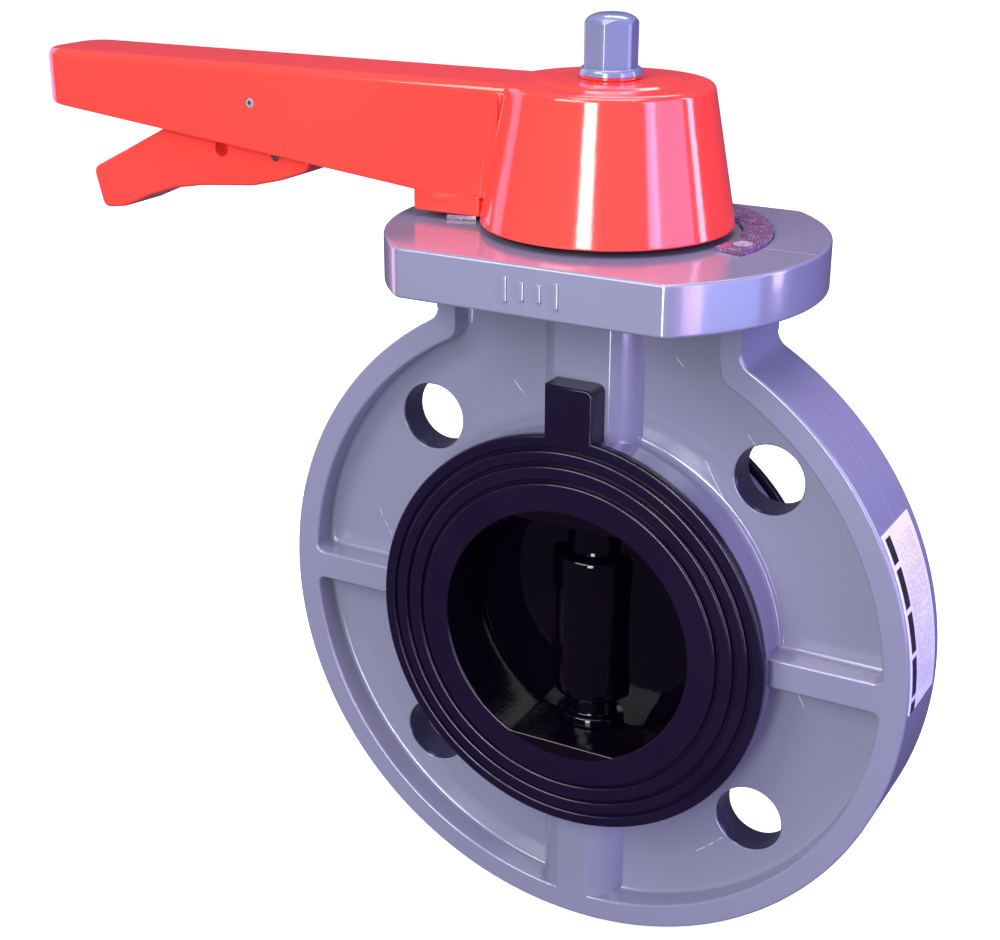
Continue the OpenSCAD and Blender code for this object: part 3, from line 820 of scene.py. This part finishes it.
hub_uv = [(0, HUB_Z), (HUB_R, HUB_Z), (HUB_TOP_R, HUB_TOP), (20.2, HUB_TOP), (19, HUB_TOP + 0.8),
          (0, HUB_TOP + 0.8)]
hub = half_section("hub", hub_uv)
round_points(hub, lambda p: p.x > 34, 0.7, 3)
round_points(hub, lambda p: 28 < p.x < 29, 1.7, 5)
round_points(hub, lambda p: 18 < p.x < 21, 0.35, 2)
spin(hub, AXES["Z"], 160)
FILLET = 8.0
for side in (-1, 1):
    combine(arm, loft("fillet", gusset(side, FILLET, 125.2), gusset(side, FILLET, 153.9)))
combine(arm, hub)
print("arm with hub:", len(arm.data.polygons), "faces")

# %% Hollow of the hub, bores and pin hole
cone = [(0, HUB_Z - 1), (HUB_R - 3.5, HUB_Z - 1), (HUB_TOP_R - 3.5, 153.5), (0, 153.5)]
room = turned("room", cone, 96)
cut(room, rod("boss", 13, 122.5, 160, steps=64))
cut(arm, room)
bore = [(0, 110), (10, 110), (10, 149), (7.3, 149), (7.3, 151), (3.4, 151), (3.4, 170), (0, 170)]
cut(arm, turned("bore", bore, 64))
cut(arm, rod("pin_hole", 1.7, -20, 20, axis="Y", at=PIVOT, steps=32))
finished(arm, "turning_set", RED, "handle", angle=35)

# %% [markdown]
# ## The trigger
# A squeeze lever hung from a roll pin inside the arm. Its side outline carries the shape,
# so it is drawn, its corners are rounded, and it is pulled to width with soft edges.

# %% Trigger outline
TRIGGER = [(-67.2, -26.5), (-63.7, -39.2), (-55, -37.9), (-44, -33.1), (-34, -29.8),
           (-24, -28), (-14, -27), (-4.5, -26.1), (6.4, -23.4), (15.6, -20), (17.5, -17.3), (15, -12.5),
           (5.8, -1.8), (4.6, 3.9), (0, 6), (-4.6, 4.6), (-14, 3.2), (-24, -4.5), (-39.3, -12.5)]
trigger = trace("squeeze_trigger", [(u + PIVOT[0], -9, v + PIVOT[2]) for u, v in TRIGGER])
round_points(trigger, lambda p: p.x < -171, 2.3, 5)
round_points(trigger, lambda p: p.x > -170, 1.1, 3)
pull(trigger, (0, 18, 0))
ease_edges(trigger, lambda p: True, 1.1, sharp=60, steps=3)
cut(trigger, block("fork", (-113, -2.2, 122.2), (-83, 2.2, 136.2)))
cut(trigger, rod("pivot_hole", 1.72, -12, 12, axis="Y", at=PIVOT, steps=32))
cut(trigger, rod("link_hole", 1.52, -12, 12, axis="Y", at=LINK, steps=32))
cut(trigger, rod("spring_pocket", 5.6, 132.5, 155, at=(SPRING_X, 0, 0), steps=40))
cut(trigger, rod("side_recess", 2.4, -11, -3, axis="Y", at=(-126, 0, 128.6), steps=32))
finished(trigger, "trigger_set", RED, "trigger")

# %% [markdown]
# ## Pins, spring and linkage
# The roll pin is a rolled steel tube, so its end shows as a ring. The spring is a wire
# circle swept along a helix by the Screw modifier. It can't follow its joint as a rigid
# piece.

# %% Roll pin and link pin
pin_uv = [(0.7, -13.9), (1.3, -13.9), (1.65, -13.5), (1.65, 13.5), (1.3, 13.9), (0.7, 13.9)]
pin = place(turned("roll_pin", pin_uv, 32, "Y", closed=True), PIVOT)
finished(pin, "turning_set", ZINC, "trigger_pin")
link = rod("linkage_pin", 1.5, -8.98, 8.98, axis="Y", at=LINK, steps=32, ends=0.3)
finished(link, "trigger_set", STEEL, "link_pin")

# %% Spring
wire, coil_r, low, high, turns = 0.5, 2.85, 133.1, 149.8, 7
spring = trace("coil_spring", [(coil_r + u, 0, v) for u, v in arc(wire, 0, 324, 36)])
take(spring)
coil = spring.modifiers.new("coil", "SCREW")
coil.angle, coil.iterations, coil.screw_offset = math.tau, turns, (high - low) / turns * MM
coil.steps = coil.render_steps = 20
bpy.ops.object.modifier_apply(modifier=coil.name)
edit(spring)
bpy.ops.mesh.select_all(action="SELECT")
bpy.ops.mesh.fill_holes(sides=0)
place(outward(spring), (SPRING_X, 0, low))
finished(spring, "turning_set", STEEL, "trigger_spring", angle=60)
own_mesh(spring)

# %% Pull rod and latch
rod_bar = block("latch_rod", (-106, -1.5, 128), (-43.8, 1.5, 131.2), 0.4, 2)
combine(rod_bar, rod("eye", 4.6, -1.5, 1.5, axis="Y", at=LINK, steps=40, ends=0.3))
cut(rod_bar, block("slot", (-107.65, -4, 125.5), (-104.35, 4, 130.9), 0.6, 2))
cut(rod_bar, rod("pin_way", 1.01, -4, 4, axis="Y", at=LATCH, steps=24))
finished(rod_bar, "latch_set", DARK, "pull_rod")
latch = block("latch_block", (-47.8, -5, 120.6), (-39, 5, 134), 0.6, 2)
combine(latch, block("tooth", (-47.5, -1.5, 117.3), (-43.6, 1.5, 122), 0.3, 2))
cut(latch, block("rod_slot", (-49, -1.52, 127.98), (-43.8, 1.52, 131.22)))
cut(latch, rod("pin_way", 1.01, -8, 8, axis="Y", at=LATCH, steps=24))
finished(latch, "latch_set", DARK, "latch")

# %% [markdown]
# ## The index plate and its screws
# A pressed plate, notched along its outer edge, lies in a track in the pad's top. One
# screw is modelled and copied to the three places.

# %% Index plate
OUTER_R, CREST_R, NOTCH_R, INNER_R = 46, 43.3, 41.0, 37.5
FIRST, LAST, NOTCHED = -14, 196, (84, 186)     # degrees
NOTCHES, PITCH, HALF_NOTCH = 13, 7.5, 1.9


def on_circle(r, degrees):
    """The point (u, v) at an angle on a circle."""
    return (r * math.cos(math.radians(degrees)), r * math.sin(math.radians(degrees)))


def plate_outline():
    """The outer edge with its notched stretch between closed and open, then the inner arc."""
    start, stop = NOTCHED
    uv = arc(OUTER_R, FIRST, start) + [on_circle(CREST_R, start)]
    crest = math.sqrt(CREST_R ** 2 - HALF_NOTCH ** 2)
    for i in range(NOTCHES):
        a = math.radians(90 + PITCH * i)
        out, side = Vector((math.cos(a), math.sin(a))), Vector((-math.sin(a), math.cos(a)))
        for along, reach in ((-HALF_NOTCH, crest), (-HALF_NOTCH, NOTCH_R),
                             (HALF_NOTCH, NOTCH_R), (HALF_NOTCH, crest)):
            p = out * reach + side * along
            uv.append((p.x, p.y))
    uv += [on_circle(CREST_R, stop)] + arc(OUTER_R, stop, LAST)
    return uv + arc(INNER_R, LAST, FIRST)


plate = pull(trace("notched_plate", plan(plate_outline(), 115)), (0, 0, 3.4))
ease_edges(plate, lambda p: p.z > 118, 0.35, sharp=50, steps=2)
print("plate outline pulled out:", len(plate.data.polygons), "faces")

# %% Screws in their countersinks
SCREW_AT, SCREW_R = (-5, 68, 191), 42
sink = turned("sink", [(0, 110), (1.6, 110), (1.6, 117.0), (3.1, 118.5), (3.1, 120), (0, 120)], 40)
screw = turned("screw", [(0, 108), (1.45, 108), (1.45, 117.2), (2.7, 118.2), (2.7, 118.35),
                         (0, 118.35)], 40)
for x, y in ((1.7, 0.35), (0.35, 1.7)):
    cut(screw, block("slot", (-x, -y, 117.8), (x, y, 119)))
copies = []
for degrees in SCREW_AT:
    at = (*on_circle(SCREW_R, degrees), 0)
    cut(plate, place(twin_of(sink), at))
    copies.append(place(twin_of(screw), at))
bpy.data.objects.remove(sink)
bpy.data.objects.remove(screw)
take(copies[0])
for twin in copies[1:]:
    twin.select_set(True)
bpy.ops.object.join()
copies[0].name = "plate_screw_set"
finished(plate, "housing", SPECKLED, "index_plate")
finished(copies[0], "housing", ZINC, "plate_screws")

# %% [markdown]
# ## Cap and washer
# The stem's screw hides under a blue-grey cap: a hexagon with eased corners and a domed
# top on a round foot. The dome is a turned solid that the hexagon is cut down to.

# %% Screw cap
settle()
bpy.ops.mesh.primitive_cylinder_add(vertices=6, radius=7.7 * MM, depth=16.2 * MM)
cap = bpy.context.object
cap.name = cap.data.name = "hexagon_cap"
edit(cap)
bpy.ops.mesh.select_all(action="SELECT")
bpy.ops.transform.rotate(value=-math.radians(9), orient_axis="Z", center_override=(0, 0, 0))
place(cap, (0, 0, 159.3 + 8.1))
ease_edges(cap, lambda p: True, 0.9, sharp=50, steps=3)
dome = half_section("dome", [(0, 158), (12, 158), (12, 170), (7.6, 172.6), (6.6, 174.2),
                             (4.6, 175.2), (2.4, 175.5), (0, 175.5)])
round_points(dome, lambda p: 2 < p.x < 8, 0.8, 3)
combine(cap, spin(dome, AXES["Z"], 64), "INTERSECT")
foot = half_section("foot", [(0, 159.3), (8.7, 159.3), (8.6, 160.3), (8.1, 161.3), (0, 161.3)])
round_points(foot, lambda p: 8 < p.x < 8.5, 0.5, 3)
combine(cap, spin(foot, AXES["Z"], 64))
cut(cap, rod("screw_room", 5.2, 158, 166.8, steps=40))
finished(cap, "turning_set", CAP, "screw_cap")

# %% Washer
washer_uv = [(3.3, 158.35), (8.0, 158.35), (8.4, 158.6), (8.4, 159.0), (8.0, 159.25), (3.3, 159.25)]
washer = turned("stem_washer", washer_uv, 64, closed=True)
finished(washer, "turning_set", RED, "hub_washer")

# %% [markdown]
# ## Finishes for the pieces that stay as they are
# The inner parts already have their true shape in the frame: bushes, O-rings, stem,
# retainer and insert. They keep their meshes and get a finish each.

# %% Finish the inner parts
INNER = {"lower_bush": NYLON, "upper_bush": NYLON, "stem_seals": SEAL, "disc_seals": SEAL,
         "stem_retainer": DARK, "retainer_screws": ZINC, "rating_label": LABEL, "stem": STEEL,
         "drive_insert": BRASS, "stem_screw": STEEL, "latch_pin": STEEL}
for name, finish in INNER.items():
    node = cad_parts[name]
    node.data.materials.clear()
    node.data.materials.append(finish)
print("kept nodes:", sorted(INNER))

# %% [markdown]
# ## Floor, light and camera
# A pale floor, a soft key from the front, one box high over the pad, one high behind, and
# tall boxes round the sides. The tall boxes are what draw the long upright highlights on
# the glossy hub.

# %% Floor
FLOOR_Z = -100.2
settle()
bpy.ops.mesh.primitive_grid_add(x_subdivisions=4, y_subdivisions=4, size=8, location=(0, 0, 0))
floor = bpy.context.object
floor.name = "floor"
place(floor, (0, 0, FLOOR_Z))
f = moulded("studio_floor", "f6f6fa", "f2f2f7", rough=(0.6, 0.7), drift=2, grain=60)
# It glows more with distance, so it runs out into plain white.
limits = {"Value": f.vector("LENGTH", f.where), "From Min": 0.12, "From Max": 0.75,
          "To Min": 0.6, "To Max": 1.0}
glow = f.node("ShaderNodeMapRange", limits, interpolation_type="SMOOTHSTEP")
f.wire("Emission Color", (1, 1, 1, 1)).wire("Emission Strength", glow.outputs[0])
floor.data.materials.append(f.material)
floor.visible_glossy = floor.visible_diffuse = False
print("floor at", FLOOR_Z, "mm")

# %% Lights
def soft_box(name, azimuth, height, far, size, power, colour=(1, 1, 1), aim=(0, 0, 30)):
    """An area light at an azimuth round the valve (0 is in front, 90 to the right)."""
    a = math.radians(azimuth)
    at = Vector((math.sin(a) * far, -math.cos(a) * far, height)) * MM
    data = bpy.data.lights.new(name, "AREA")
    data.shape, data.size, data.size_y = "RECTANGLE", size[0] * MM, size[1] * MM
    data.energy, data.color = power, colour
    lamp = bpy.data.objects.new(name, data)
    lamp.location = at
    lamp.rotation_mode = "QUATERNION"
    lamp.rotation_quaternion = (Vector(aim) * MM - at).to_track_quat("-Z", "Y")
    bpy.context.scene.collection.objects.link(lamp)
    return lamp


soft_box("key", -22, 700, 900, (560, 460), 8.0)
soft_box("top", 20, 950, 200, (760, 520), 8.5, (1.0, 0.78, 0.90))
soft_box("front_strip", 6, 160, 900, (200, 800), 9.5)
soft_box("right_box", 88, 200, 900, (640, 800), 7.5, (0.32, 0.42, 1.0))
soft_box("right_strip", 68, 200, 880, (160, 800), 3.8, (0.82, 0.48, 1.0))
soft_box("rear_right_box", 118, 250, 900, (120, 800), 3.5, (0.80, 0.66, 1.0))
soft_box("back_box", 190, 1050, 620, (700, 260), 4.5, (1.0, 0.92, 1.0))
soft_box("left_box", -98, 200, 900, (560, 800), 3.2, (1.0, 0.50, 0.92))

world = bpy.data.worlds.new("studio")
bpy.context.scene.world = world
world.use_nodes = True
back = world.node_tree.nodes["Background"]
seen = world.node_tree.nodes.new("ShaderNodeLightPath")
tone = world.node_tree.nodes.new("ShaderNodeMix")
tone.data_type = "RGBA"
tone.inputs[6].default_value = (0.10, 0.085, 0.14, 1)   # what lights the valve
tone.inputs[7].default_value = (1, 1, 1, 1)             # what the camera sees
world.node_tree.links.new(seen.outputs["Is Camera Ray"], tone.inputs[0])
world.node_tree.links.new(tone.outputs[2], back.inputs[0])
bpy.context.scene.view_settings.view_transform = "Standard"

# %% Camera
LOOK_AT, DISTANCE, LENS = (-33.74, 0, 38.47), 530.98, 63.116
azimuth, elevation, roll = (math.radians(a) for a in (29.09, 21.07, 0.18))
level = math.cos(elevation)
away = Vector((math.sin(azimuth) * level, -math.cos(azimuth) * level, math.sin(elevation)))
right = Vector((math.cos(azimuth), math.sin(azimuth), 0))
up = away.cross(right)
right, up = (right * math.cos(roll) + up * math.sin(roll), up * math.cos(roll) - right * math.sin(roll))
camera_data = bpy.data.cameras.new("camera")
camera_data.sensor_width, camera_data.lens = 36, LENS
camera_data.clip_start, camera_data.clip_end = 0.01, 50
camera = bpy.data.objects.new("camera", camera_data)
turn = Matrix((right, up, away)).transposed().to_4x4()
camera.matrix_world = Matrix.Translation(Vector(LOOK_AT) * MM + away * (DISTANCE * MM)) @ turn
bpy.context.scene.collection.objects.link(camera)
bpy.context.scene.camera = camera
print("camera at", [round(v / MM, 1) for v in camera.location])
